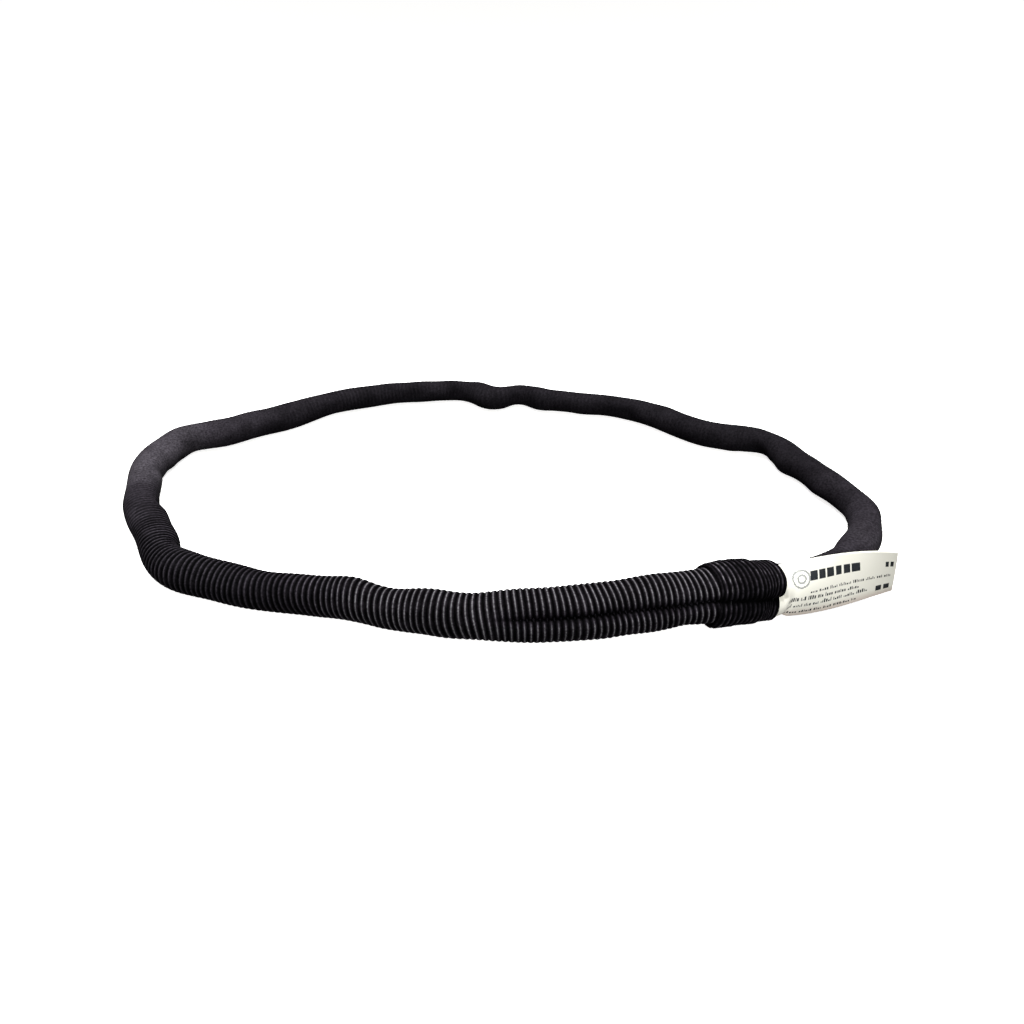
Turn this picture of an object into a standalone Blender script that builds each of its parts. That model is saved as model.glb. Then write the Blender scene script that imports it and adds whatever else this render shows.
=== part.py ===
"""A round sling: a woven tubular jacket round an endless hank of load yarn, lying flat as a loop.

Metres, +Z up. The loop's long way is along X, it rests on z = 0, and the origin lies under the middle of
the whole outline. The jacket's two ends meet inside a short joint sleeve, where a folded label is sewn in.
The loop folds in half about a line along Y, so the jacket and the hank are cut at FOLD_X.
"""

import math

import bmesh
import bpy
import numpy as np
from mathutils import Vector

MM = 0.001

# The middle of the tube seen from above, in mm, with the width and height of the section there. The loop
# starts inside the joint sleeve, runs to the left along the near side, round the left bight, back along
# the far side and round the right bight. The points lie where the soft tube changes direction.
ROUTE_MM = [
    (134, -122.5, 27, 22),
    (108, -127, 27, 22.5),
    (80, -132, 28, 24),
    (48, -138, 27.5, 24),
    (18, -140, 25.5, 22.5),
    (-14, -140, 22, 21),
    (-46, -133, 20.5, 20.5),
    (-78, -125.5, 21, 20.5),
    (-109, -121, 21, 20.5),
    (-136, -113.5, 21.5, 21),
    (-160, -104, 22.5, 21),
    (-179, -87, 24, 21),
    (-196, -64, 24.5, 21),
    (-213, -39, 23.5, 21),
    (-225, -13, 23.5, 21),
    (-231, 11, 23.5, 21),
    (-229, 34, 22, 20.5),
    (-218, 51, 21, 20.5),
    (-196, 64, 21, 20.5),
    (-145, 104, 21, 20.5),
    (-119, 123, 20.5, 20),
    (-89, 135, 20, 20),
    (-57, 141.5, 20, 20),
    (-30, 143, 20, 20),
    (-14, 137, 20, 20),
    (0, 127.5, 21, 20.5),
    (9, 127.5, 20.5, 20),
    (24, 133, 20, 20),
    (40, 125.5, 20.5, 20),
    (66, 119, 20, 20),
    (96, 110, 20, 20),
    (123, 97, 20.5, 20),
    (145, 76, 21, 20.5),
    (168, 58, 21, 20.5),
    (196, 49, 21, 20.5),
    (211, 29, 21.5, 20.5),
    (229, -27, 21, 20.5),
    (232, -49, 21, 20.5),
    (219, -77, 21.5, 20.5),
    (191, -102.5, 21, 20.5),
    (163, -115.5, 21, 20.5),
]

SIDES = 12  # of the jacket's section; one of them lies flat on z = 0
STEP = 16 * MM  # between the rings of a tube
LEAD = 4 * MM  # the last ring but one is this near a tube's end, so the end stands square
GAP = 0.3 * MM  # between pieces that touch
SAMPLES = 4000  # round the loop, when its smooth curve is measured

FOLD_X = 4.5 * MM
JACKET_WALL = 1.2 * MM

# The jacket is made in short runs, so that each is nearly straight. They part at these distances along
# the loop from the middle of the sleeve, all on its straighter stretches, and also at the fold.
LEFT_PARTINGS_MM = (250, 340, 425, 530, 640)
RIGHT_PARTINGS_MM = (817, 908, 1008, 1112)

# The hank: seven bundles of turns, one in the middle and six round it.
YARN_DIAMETER = 4.9 * MM
YARN_PITCH = YARN_DIAMETER + 0.45 * MM
YARN_BACKSET = 0.6 * MM  # the yarn stops this far short of the fold
TAPE_WALL = 0.5 * MM
TAPE_START = 50 * MM  # from the sleeve's middle, along the near side
TAPE_LENGTH = 18 * MM

SLEEVE_LENGTH = 37 * MM
SLEEVE_WALL = 1.6 * MM
SLEEVE_RINGS = 5
SLEEVE_RAMP = 22 * MM  # outside its mouths the tube comes down to the floor in this length
THREAD_DIAMETER = 0.9 * MM
SEAM_GAP = THREAD_DIAMETER + 2 * GAP
HEM = 5 * MM  # from a mouth to its row of thread
THREAD_FROM = math.radians(-45)  # a hem's thread runs over the top, between these angles
THREAD_TO = math.radians(225)
THREAD_POINTS = 13

# The label: a strip folded double, its fold at the free end. These are the middles of its four corners.
# It leans back against the tube where it is sewn in and stands upright at its tip.
LABEL_ROOT_FOOT = Vector((157, -134, 3.5)) * MM
LABEL_ROOT_TOP = Vector((156.5, -126, 29)) * MM
LABEL_TIP_FOOT = Vector((220.5, -112.5, 0.8)) * MM
LABEL_TIP_TOP = Vector((216.5, -111, 26.5)) * MM
LABEL_WALL = 0.5 * MM
LABEL_OPENING = 0.7 * MM  # between the two layers
LABEL_COLUMNS = 8
TACK_INSET = 4 * MM  # of the tack's thread from the label's root, and from its long edges

CLOTH = ("black_polyester_cloth", (0.018, 0.017, 0.02), 0.85)
THREAD = ("black_sewing_thread", (0.03, 0.03, 0.032), 0.7)
YARN = ("natural_polyester_yarn", (0.78, 0.76, 0.7), 0.75)
TAPE = ("white_tape", (0.85, 0.85, 0.82), 0.5)
LABEL = ("cream_label_fabric", (0.84, 0.82, 0.76), 0.6)


def clear_scene():
    for thing in list(bpy.data.objects):
        bpy.data.objects.remove(thing, do_unlink=True)


def new_collection(name):
    collection = bpy.data.collections.new(name)
    bpy.context.scene.collection.children.link(collection)
    return collection


def material(spec):
    """The Principled material of that name, colour and roughness, made on its first use."""
    name, colour, roughness = spec
    found = bpy.data.materials.get(name)
    if found is not None:
        return found
    made = bpy.data.materials.new(name)
    made.use_nodes = True
    shader = made.node_tree.nodes["Principled BSDF"]
    shader.inputs["Base Color"].default_value = (*colour, 1)
    shader.inputs["Roughness"].default_value = roughness
    made.diffuse_color = (*colour, 1)
    return made


def smooth_loop(points):
    """x, y, width, height and distance at close steps on the smooth closed curve through the points."""
    closed = np.vstack([points, points[:1]])
    step = np.linalg.norm(np.diff(closed[:, :2], axis=0), axis=1)
    slope = np.diff(closed, axis=0) / step[:, None]
    count = len(points)
    system = np.zeros((count, count))
    for i in range(count):
        system[i, i - 1] += step[i - 1]
        system[i, i] += 2 * (step[i - 1] + step[i])
        system[i, (i + 1) % count] += step[i]
    bend = np.linalg.solve(system, 6 * (slope - np.roll(slope, 1, axis=0)))
    bend = np.vstack([bend, bend[:1]])
    knots = np.concatenate([[0], np.cumsum(step)])
    where = np.linspace(0, knots[-1], SAMPLES + 1)
    span = np.clip(np.searchsorted(knots, where, side="right") - 1, 0, count - 1)
    after = ((where - knots[span]) / step[span])[:, None]
    before = 1 - after
    curved = (before**3 - before) * bend[span] + (after**3 - after) * bend[span + 1]
    line = before * closed[span] + after * closed[span + 1] + curved * step[span][:, None] ** 2 / 6
    along = np.concatenate([[0], np.cumsum(np.linalg.norm(np.diff(line[:, :2], axis=0), axis=1))])
    return np.column_stack([line, along])


LOOP = smooth_loop(np.array(ROUTE_MM) * MM)
LOOP_LENGTH = LOOP[-1, 4]


def fold_crossings():
    """How far along the loop it crosses the fold, on the near side and on the far side."""
    inside = LOOP[:, 0] > FOLD_X
    steps = np.flatnonzero(inside[1:] != inside[:-1])
    near, far = (LOOP[i, 4] for i in steps)
    return near, far


def lift(distance):
    """How high the tube's underside is: on the floor, but raised by the sleeve's wall inside the sleeve."""
    from_middle = abs((distance + LOOP_LENGTH / 2) % LOOP_LENGTH - LOOP_LENGTH / 2)
    share = (from_middle - SLEEVE_LENGTH / 2) / SLEEVE_RAMP
    share = min(max(share, 0), 1)
    return (SLEEVE_WALL + GAP) * (1 - share * share * (3 - 2 * share))


class Station:
    """The tube's section at a distance along the loop: its foot, directions and size."""

    def __init__(self, distance, cut_x=None):
        wrapped = distance % LOOP_LENGTH
        ahead = (wrapped + STEP / 2) % LOOP_LENGTH
        behind = (wrapped - STEP / 2) % LOOP_LENGTH
        x, y, width, height = (np.interp(wrapped, LOOP[:, 4], LOOP[:, i]) for i in range(4))
        heading = [
            np.interp(ahead, LOOP[:, 4], LOOP[:, i]) - np.interp(behind, LOOP[:, 4], LOOP[:, i])
            for i in range(2)
        ]
        self.along = Vector((*heading, 0)).normalized()
        self.side = Vector((-self.along.y, self.along.x, 0))  # points out of the loop
        self.half_width = width / 2
        self.half_height = height / 2
        self.foot = Vector((x, y, lift(distance)))
        if cut_x is not None:
            self.half_width /= abs(self.along.x)
            self.side = Vector((0, math.copysign(1, self.side.y), 0))
            self.foot.x = cut_x
        self.middle = self.foot + Vector((0, 0, self.half_height * math.cos(math.pi / SIDES)))

    def point(self, across, up):
        return self.middle + self.side * across + Vector((0, 0, up))

    def rim(self, grow=0.0):
        """The corners of the section, grown outward by that much."""
        corners = []
        for k in range(SIDES):
            angle = (k + 0.5) * math.tau / SIDES
            across = (self.half_width + grow) * math.cos(angle)
            up = (self.half_height + grow) * math.sin(angle)
            corners.append(self.point(across, up))
        return corners

    def round_rim(self, radius):
        turns = [(k + 0.5) * math.tau / SIDES for k in range(SIDES)]
        return [self.point(radius * math.cos(a), radius * math.sin(a)) for a in turns]


def ring_distances(bounds):
    """For each run between two bounds, even steps along the loop; a fold end has one more ring near it."""
    runs = []
    for first, last in zip(bounds, bounds[1:]):
        count = round((last - first) / STEP)
        runs.append(list(np.linspace(first, last, count + 1)))
    runs[0].insert(1, bounds[0] + LEAD)
    runs[-1].insert(-1, bounds[-1] - LEAD)
    return runs


def place(thing, collection, spec):
    collection.objects.link(thing)
    thing.data.materials.append(material(spec))
    return thing


def mesh_object(name, grid, closed):
    """A sheet of quads over rows of points; each row's last point joins its first if closed."""
    bm = bmesh.new()
    rows = [[bm.verts.new(p) for p in row] for row in grid]
    across = len(rows[0]) if closed else len(rows[0]) - 1
    for row, following in zip(rows, rows[1:]):
        for k in range(across):
            beside = (k + 1) % len(row)
            bm.faces.new((row[k], row[beside], following[beside], following[k]))
    mesh = bpy.data.meshes.new(name)
    bm.to_mesh(mesh)
    bm.free()
    return bpy.data.objects.new(name, mesh)


def thicken(thing, wall, offset):
    """Gives a sheet its thickness: offset -1 grows it inward, 0 both ways."""
    solidify = thing.modifiers.new("wall", "SOLIDIFY")
    solidify.thickness = wall
    solidify.offset = offset
    solidify.use_even_offset = True


def tube_shell(name, rings, wall, collection, spec):
    """An open-ended tube over rings of corners, with its wall inside them."""
    shell = place(mesh_object(name, rings, closed=True), collection, spec)
    thicken(shell, wall, -1)
    shell.data.shade_smooth()
    return shell


def wire(name, points, diameter, collection, spec, cyclic=False):
    """A round thread or yarn through the points."""
    curve = bpy.data.curves.new(name, "CURVE")
    curve.dimensions = "3D"
    curve.bevel_depth = diameter / 2
    curve.bevel_resolution = 2
    curve.use_fill_caps = not cyclic
    spline = curve.splines.new("POLY")
    spline.points.add(len(points) - 1)
    for target, point in zip(spline.points, points):
        target.co = (*point, 1)
    spline.use_cyclic_u = cyclic
    return place(bpy.data.objects.new(name, curve), collection, spec)


def jacket_runs(names, bounds, gaps, fold_face, collection):
    """Half of the jacket in runs, a gap at each bound, cut square across X at its two fold ends."""
    runs = ring_distances(bounds)
    for i, (name, steps) in enumerate(zip(names, runs)):
        first_cut = fold_face if i == 0 else None
        last_cut = fold_face if i == len(runs) - 1 else None
        stations = [Station(steps[0] + gaps[i] / 2, first_cut)]
        stations += [Station(d) for d in steps[1:-1]]
        stations.append(Station(steps[-1] - gaps[i + 1] / 2, last_cut))
        tube_shell(name, [s.rim() for s in stations], JACKET_WALL, collection, CLOTH)


def bundle_offsets():
    """Across and up from the hank's middle to the middle of each bundle."""
    around = [math.radians(60 * k) for k in range(6)]
    ring = [(YARN_PITCH * math.cos(a), YARN_PITCH * math.sin(a)) for a in around]
    return [(0.0, 0.0), *ring]


def hank(side_name, bounds, collection):
    """The hank's bundles of turns over one half of the loop, on the same rings as the jacket."""
    steps = sorted({d for run in ring_distances(bounds) for d in run})
    steps[0] += YARN_BACKSET
    steps[-1] -= YARN_BACKSET
    stations = [Station(d) for d in steps]
    for number, (across, up) in enumerate(bundle_offsets(), 1):
        points = [s.point(across, up) for s in stations]
        wire(f"core_yarn_{side_name}_{number}", points, YARN_DIAMETER, collection, YARN)


def core_end_tape(collection):
    """The tape wound round the hank where the yarn's two ends are laid in."""
    radius = YARN_PITCH + YARN_DIAMETER / 2 + GAP + TAPE_WALL
    radius /= math.cos(math.pi / SIDES)
    steps = np.linspace(TAPE_START, TAPE_START + TAPE_LENGTH, 3)
    rings = [Station(d).round_rim(radius) for d in steps]
    return tube_shell("core_end_tape", rings, TAPE_WALL, collection, TAPE)


def jacket_seam_thread(collection):
    """The thread between the jacket's two ends, halfway through its wall."""
    rim = Station(0).rim(grow=-JACKET_WALL / 2)
    return wire("jacket_seam_thread", rim, THREAD_DIAMETER, collection, THREAD, cyclic=True)


def joint_sleeve(collection):
    """The short tube over the jacket's seam, resting on the floor with the jacket inside it."""
    grow = (GAP + SLEEVE_WALL) / math.cos(math.pi / SIDES)
    steps = np.linspace(-SLEEVE_LENGTH / 2, SLEEVE_LENGTH / 2, SLEEVE_RINGS)
    rings = [Station(d).rim(grow) for d in steps]
    return tube_shell("joint_sleeve", rings, SLEEVE_WALL, collection, CLOTH)


def sleeve_thread(name, distance, collection):
    """The row of thread round a hem of the sleeve, over its top and sides."""
    station = Station(distance)
    grow = GAP + SLEEVE_WALL + GAP + THREAD_DIAMETER / 2
    points = []
    for angle in np.linspace(THREAD_FROM, THREAD_TO, THREAD_POINTS):
        across = (station.half_width + grow) * math.cos(angle)
        up = (station.half_height + grow) * math.sin(angle)
        points.append(station.point(across, up))
    return wire(name, points, THREAD_DIAMETER, collection, THREAD)


def label_point(share, layer, height_share):
    """A point of the label: share runs from its root to its tip, layer is -1 near side or +1 far side."""
    foot = LABEL_ROOT_FOOT.lerp(LABEL_TIP_FOOT, share)
    top = LABEL_ROOT_TOP.lerp(LABEL_TIP_TOP, share)
    run = LABEL_TIP_FOOT - LABEL_ROOT_FOOT
    across = run.cross(foot - top).normalized()
    return foot.lerp(top, height_share) + across * (LABEL_OPENING + LABEL_WALL) / 2 * layer


def label(collection):
    """The label's strip, from the root along its near layer, round the fold and back."""
    run_length = (LABEL_TIP_FOOT - LABEL_ROOT_FOOT).length
    fold_share = 1 - (LABEL_OPENING + LABEL_WALL) / 2 / run_length
    out = [(share, -1) for share in np.linspace(0, fold_share, LABEL_COLUMNS)]
    fold = [(fold_share + (1 - fold_share) * math.cos(a), math.sin(a)) for a in np.radians((-45, 0, 45))]
    back = [(share, 1) for share, _ in reversed(out)]
    rows = [[label_point(share, layer, h) for h in (0, 1)] for share, layer in (*out, *fold, *back)]
    strip = place(mesh_object("label", rows, closed=False), collection, LABEL)
    thicken(strip, LABEL_WALL, 0)
    return strip


def label_tack_thread(collection):
    """The upright row of thread that closes the label's two layers beside the sleeve."""
    share = TACK_INSET / (LABEL_TIP_FOOT - LABEL_ROOT_FOOT).length
    away = (LABEL_WALL / 2 + GAP + THREAD_DIAMETER / 2) / ((LABEL_OPENING + LABEL_WALL) / 2)
    inset = TACK_INSET / (LABEL_ROOT_TOP - LABEL_ROOT_FOOT).length
    points = [label_point(share, -1 - away, h) for h in (inset, 0.5, 1 - inset)]
    return wire("label_tack_thread", points, THREAD_DIAMETER, collection, THREAD)


def left_half(near, far, collection):
    """From the fold on the near side round the left bight to the fold on the far side."""
    bounds = [near, *(d * MM for d in LEFT_PARTINGS_MM), far]
    names = [f"jacket_left_{k}" for k in range(1, len(bounds))]
    gaps = [0, *[GAP] * len(LEFT_PARTINGS_MM), 0]
    jacket_runs(names, bounds, gaps, FOLD_X - GAP / 2, collection)
    hank("left", bounds, collection)


def right_half(near, far, collection):
    """From the fold on the far side round the right bight, through the sleeve, to the near side's fold."""
    bounds = [far, *(d * MM for d in RIGHT_PARTINGS_MM), LOOP_LENGTH, LOOP_LENGTH + near]
    names = [f"jacket_right_{k}" for k in range(1, len(bounds) - 1)] + ["jacket_front"]
    gaps = [0, *[GAP] * len(RIGHT_PARTINGS_MM), SEAM_GAP, 0]
    jacket_runs(names, bounds, gaps, FOLD_X + GAP / 2, collection)
    hank("right", bounds, collection)


def main():
    clear_scene()
    collection = new_collection("round_sling")
    near, far = fold_crossings()
    left_half(near, far, collection)
    right_half(near, far, collection)
    core_end_tape(collection)
    jacket_seam_thread(collection)
    joint_sleeve(collection)
    sleeve_thread("sleeve_thread_left", SLEEVE_LENGTH / 2 - HEM, collection)
    sleeve_thread("sleeve_thread_right", HEM - SLEEVE_LENGTH / 2, collection)
    label(collection)
    label_tack_thread(collection)


main()
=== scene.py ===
"""Looks for the round sling: a ribbed jacket round an endless hank, a joint sleeve and a sewn-in label.

Metres, +Z up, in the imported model's frame. Distances run along the loop from the middle of the sleeve, to
the left along the near side. A section angle is 0 at the loop's outer side, 90 on top, 180 inside the loop.
"""

import math

import bpy
import numpy as np
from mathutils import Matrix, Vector


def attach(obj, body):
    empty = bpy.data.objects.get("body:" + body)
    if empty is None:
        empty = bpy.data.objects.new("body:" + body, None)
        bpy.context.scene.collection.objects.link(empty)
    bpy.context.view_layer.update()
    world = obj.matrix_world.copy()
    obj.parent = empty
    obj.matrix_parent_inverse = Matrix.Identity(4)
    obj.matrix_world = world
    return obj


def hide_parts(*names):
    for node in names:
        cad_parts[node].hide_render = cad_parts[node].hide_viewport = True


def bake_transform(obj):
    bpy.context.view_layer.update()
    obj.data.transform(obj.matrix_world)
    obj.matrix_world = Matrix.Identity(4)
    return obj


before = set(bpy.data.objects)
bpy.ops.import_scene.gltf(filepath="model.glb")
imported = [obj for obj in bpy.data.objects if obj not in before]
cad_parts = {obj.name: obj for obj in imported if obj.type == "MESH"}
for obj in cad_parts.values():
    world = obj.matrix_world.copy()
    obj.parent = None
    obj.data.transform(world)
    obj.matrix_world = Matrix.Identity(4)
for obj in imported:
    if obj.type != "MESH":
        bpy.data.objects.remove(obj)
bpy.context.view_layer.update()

MM = 0.001

# The middle of the tube seen from above, with the width and height of its section: the design's route.
ROUTE = np.array([
    (0.134, -0.1225, 0.027, 0.022),
    (0.108, -0.127, 0.027, 0.0225),
    (0.080, -0.132, 0.028, 0.024),
    (0.048, -0.138, 0.0275, 0.024),
    (0.018, -0.140, 0.0255, 0.0225),
    (-0.014, -0.140, 0.022, 0.021),
    (-0.046, -0.133, 0.0205, 0.0205),
    (-0.078, -0.1255, 0.021, 0.0205),
    (-0.109, -0.121, 0.021, 0.0205),
    (-0.136, -0.1135, 0.0215, 0.021),
    (-0.160, -0.104, 0.0225, 0.021),
    (-0.179, -0.087, 0.024, 0.021),
    (-0.196, -0.064, 0.0245, 0.021),
    (-0.213, -0.039, 0.0235, 0.021),
    (-0.225, -0.013, 0.0235, 0.021),
    (-0.231, 0.011, 0.0235, 0.021),
    (-0.229, 0.034, 0.022, 0.0205),
    (-0.218, 0.051, 0.021, 0.0205),
    (-0.196, 0.064, 0.021, 0.0205),
    (-0.145, 0.104, 0.021, 0.0205),
    (-0.119, 0.123, 0.0205, 0.020),
    (-0.089, 0.135, 0.020, 0.020),
    (-0.057, 0.1415, 0.020, 0.020),
    (-0.030, 0.143, 0.020, 0.020),
    (-0.014, 0.137, 0.020, 0.020),
    (0.000, 0.1275, 0.021, 0.0205),
    (0.009, 0.1275, 0.0205, 0.020),
    (0.024, 0.133, 0.020, 0.020),
    (0.040, 0.1255, 0.0205, 0.020),
    (0.066, 0.119, 0.020, 0.020),
    (0.096, 0.110, 0.020, 0.020),
    (0.123, 0.097, 0.0205, 0.020),
    (0.145, 0.076, 0.021, 0.0205),
    (0.168, 0.058, 0.021, 0.0205),
    (0.196, 0.049, 0.021, 0.0205),
    (0.211, 0.029, 0.0215, 0.0205),
    (0.229, -0.027, 0.021, 0.0205),
    (0.232, -0.049, 0.021, 0.0205),
    (0.219, -0.077, 0.0215, 0.0205),
    (0.191, -0.1025, 0.021, 0.0205),
    (0.163, -0.1155, 0.021, 0.0205),
])
SAMPLES = 4000  # round the loop, when its smooth curve is measured
HEADING_WINDOW = 16 * MM  # the tube's direction is taken over this length
SECTION_SIDES = 12  # of the design's tube, which rests on one of them
TUBE_RADIUS = 11 * MM  # for the cloth's UV map, which is in metres
FLOOR_SOFTNESS = 0.5 * MM  # how gently the underside flattens on the floor

# The jacket's ribs: how deep they are, at distances along the loop.
RIB_DEPTH = [
    (0.000, 0.65 * MM),
    (0.025, 0.80 * MM),
    (0.330, 0.80 * MM),
    (0.362, 0.48 * MM),
    (0.402, 0.16 * MM),
    (0.430, 0.12 * MM),
    (0.530, 0.14 * MM),
    (0.600, 0.22 * MM),
    (0.700, 0.18 * MM),
    (1.000, 0.12 * MM),
    (1.110, 0.12 * MM),
    (1.150, 0.40 * MM),
    (1.189, 0.60 * MM),
]
RIB_DEPTH_SHARE = (0.82, 1.0)  # from one rib to another
RIB_PITCH = 3.16 * MM
RIB_PITCH_SHARE = (0.96, 1.04)  # from one rib to another
RIB_PITCH_AT_SLEEVE = 2.85 * MM
RIB_TIGHT_WITHIN = 60 * MM  # of the sleeve, the ribs close up
# How far to the left a rib's top lies of its sides, at distances along the loop, and how that varies.
RIB_LEAN = [(0.04, 0.2 * MM), (0.10, 1.2 * MM), (0.20, 2.4 * MM), (0.27, 1.2 * MM), (0.34, 0.0)]
RIB_SWAY = 0.5 * MM
RIB_SWAY_WAVES = 7  # round the loop
RIB_TWIST = 0.4 * MM
# The rings of points on a rib, as shares of its pitch: more of them where the ribs are deep.
RIB_PHASES_FINE = (0, 0.09, 0.28, 0.5, 0.72, 0.91)
RIB_PHASES_COARSE = (0, 0.17, 0.5, 0.83)
FINE_TO = 0.44
FINE_FROM = 1.10
# Waves that make the ribs deeper or shallower: radians per metre, waves round the section, and phase.
WEAR_WAVES = ((310, 4, 0.0), (173, -3, 1.7), (97, 7, 0.6))

# How much fuller or slimmer than the design the cloth lies, at distances along the loop.
FULLNESS = [
    (0.000, 0.2 * MM),
    (0.060, 0.2 * MM),
    (0.130, 0.0 * MM),
    (0.250, -0.2 * MM),
    (0.330, -0.5 * MM),
    (0.380, -0.8 * MM),
    (0.470, -0.6 * MM),
    (0.530, 0.0 * MM),
    (0.600, -0.8 * MM),
    (0.650, -1.1 * MM),
    (0.710, -1.1 * MM),
    (0.740, -0.8 * MM),
    (0.820, -1.1 * MM),
    (0.880, -0.8 * MM),
    (0.950, -0.8 * MM),
    (1.050, -1.2 * MM),
    (1.120, -0.8 * MM),
    (1.189, 0.2 * MM),
]
JACKET_WALL = 1.2 * MM
SEAM_GAP = 0.8 * MM  # from the cloth's joint, inside the sleeve, to either end of the cloth
LINING_RINGS = 150
LINING_CREASE_SHARE = 0.75  # the lining follows the crease less deeply

# How pale the cloth is, from 0 to 1, at distances along the loop: where it is smooth, paler on the bights as
# a painted highlight and darker along the far side, and on a crest, the strength of its painted highlight.
SMOOTH_SHADE = [
    (0.33, 0.40),
    (0.38, 0.50),
    (0.41, 0.61),
    (0.48, 0.57),
    (0.54, 0.30),
    (0.62, 0.20),
    (0.86, 0.20),
    (0.95, 0.18),
    (1.02, 0.24),
    (1.07, 0.50),
    (1.10, 0.54),
    (1.14, 0.40),
]
# The strength of the painted highlight on a rib's crest, at distances along the loop.
CREST_HIGHLIGHT = [
    (0.00, 1.00),
    (0.19, 1.00),
    (0.23, 0.60),
    (0.28, 0.58),
    (0.33, 0.68),
    (0.40, 0.62),
    (1.14, 0.80),
]
LINING_SHADE = 0.2
# The painted highlight on a rib's crest and the painted shade in its valley: how narrow the highlight is,
# and over what rib depth both come in.
RIB_SHADE = 8  # how closely the paler cloth keeps to a rib's crest
RIB_SHADE_FROM = 0.1 * MM  # a shallower rib has the smooth cloth's shade
RIB_SHADE_OVER = 0.6 * MM  # the shade turns into a rib's over this much more depth

# The long crease between the near side's two lobes: its section angle, at distances along the loop.
CREASE_ANGLES = [(-0.0185, 8), (0.000, 19), (0.030, 26), (0.065, 30), (0.135, 34)]
CREASE_DEPTH = 3.6 * MM
CREASE_WIDTH = 9  # degrees
CREASE_LOBE = 0.5 * MM  # the lobes stand this far out beside it
CREASE_LOBE_TURN = 30  # degrees from the crease to a lobe's crown
CREASE_LOBE_WIDTH = 18  # degrees
CREASE_FADES = (0.105, 0.136)  # it dies away between these distances on the left
CREASE_FADES_RIGHT = 12 * MM  # and over this length past the sleeve's right mouth
CREASE_DARK_AT = 0.75  # of its depth, where its shadow is full

CREASE_ANGLE = 20  # about where it is, for the sleeve and for the sections' closer corners
CLOSE_REACH = 26  # degrees on either side of it with the closer corners
SIDES_CLOSE = 16
SIDES_ELSEWHERE = 32

# Folds and swellings of the soft tube: distance along the loop, section angle, reach along, reach round
# in degrees, and how far the surface moves out in millimetres.
FOLDS = [
    # The near side's underside, from the sleeve to the left.
    (-0.014, -50, 0.015, 40, 3.6),
    (0.002, -50, 0.012, 45, 0.5),
    (0.018, -50, 0.008, 45, 1.8),
    (0.026, -50, 0.006, 45, 0.9),
    (0.045, -45, 0.030, 45, 1.4),
    (0.073, -45, 0.010, 45, 0.9),
    (0.090, -45, 0.035, 45, 1.2),
    (0.108, -45, 0.012, 45, 0.6),
    (0.159, -45, 0.010, 45, -1.1),
    (0.181, -45, 0.009, 45, 0.6),
    (0.215, -45, 0.010, 45, 0.6),
    (0.285, -45, 0.030, 45, 0.5),
    # The near side's top.
    (0.000, 95, 0.014, 45, 0.7),
    (0.035, 105, 0.025, 45, 0.8),
    (0.037, 105, 0.010, 45, 0.9),
    (0.060, 105, 0.010, 45, -0.9),
    (0.110, 100, 0.022, 45, 1.3),
    (0.157, 100, 0.018, 50, 3.2),
    (0.179, 100, 0.008, 50, -1.0),
    (0.188, 100, 0.008, 50, -1.3),
    (0.200, 100, 0.015, 50, 2.8),
    (0.250, 120, 0.030, 50, 0.8),
    (0.302, 110, 0.020, 50, 1.1),
    # The left bight, outside and then inside the loop.
    (0.343, 10, 0.016, 60, -2.4),
    (0.400, 10, 0.032, 60, -1.2),
    (0.443, 10, 0.010, 60, -0.6),
    (0.473, 40, 0.011, 55, 2.3),
    (0.500, 40, 0.008, 55, 0.5),
    (0.520, 40, 0.015, 55, 1.2),
    (0.315, 178, 0.012, 45, -3.6),
    (0.376, 178, 0.007, 45, -2.6),
    (0.425, 180, 0.005, 45, -1.6),
    (0.438, 180, 0.009, 50, -0.4),
    (0.450, 195, 0.005, 45, 1.5),
    (0.458, 180, 0.006, 50, 1.6),
    (0.478, 200, 0.008, 50, -3.3),
    (0.501, 180, 0.010, 50, 2.5),
    (0.514, 180, 0.010, 50, -0.8),
    # The far side, outside and then inside the loop.
    (0.550, 60, 0.010, 55, 0.5),
    (0.642, 70, 0.012, 60, 0.5),
    (0.681, 70, 0.012, 60, -1.3),
    (0.719, 70, 0.010, 60, 1.5),
    (0.736, 80, 0.012, 50, 0.4),
    (0.774, 80, 0.009, 60, 1.0),
    (0.805, 70, 0.014, 60, -1.0),
    (0.858, 70, 0.012, 60, 1.2),
    (0.885, 70, 0.015, 60, 0.7),
    (0.903, 70, 0.008, 60, 0.4),
    (0.551, 175, 0.008, 50, -1.0),
    (0.588, 205, 0.012, 50, -2.3),
    (0.620, 175, 0.035, 50, -0.8),
    (0.658, 175, 0.014, 60, -1.9),
    (0.700, 180, 0.009, 60, -3.6),
    (0.728, 190, 0.010, 60, 1.7),
    (0.750, 180, 0.007, 60, -3.2),
    (0.762, 185, 0.010, 60, -2.0),
    (0.788, 185, 0.008, 60, -1.8),
    (0.801, 200, 0.007, 60, -0.8),
    (0.830, 185, 0.030, 60, -0.6),
    (0.846, 195, 0.018, 60, -3.3),
    # The right bight, outside and then inside the loop.
    (0.946, 60, 0.008, 60, -0.4),
    (0.972, 60, 0.008, 60, 0.6),
    (0.992, 30, 0.009, 60, -1.6),
    (1.026, 0, 0.015, 60, -1.5),
    (1.072, 10, 0.010, 60, -1.7),
    (1.113, 0, 0.015, 60, -0.7),
    (0.938, 185, 0.008, 50, 2.4),
    (0.963, 212, 0.008, 50, -4.2),
    (0.990, 190, 0.009, 50, 4.1),
    (1.022, 180, 0.009, 50, 2.2),
    (1.050, 180, 0.008, 50, -1.8),
    (1.075, 180, 0.006, 45, 0.6),
    (1.120, 180, 0.009, 45, -1.8),
    (1.145, 150, 0.010, 50, 1.2),
]
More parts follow.
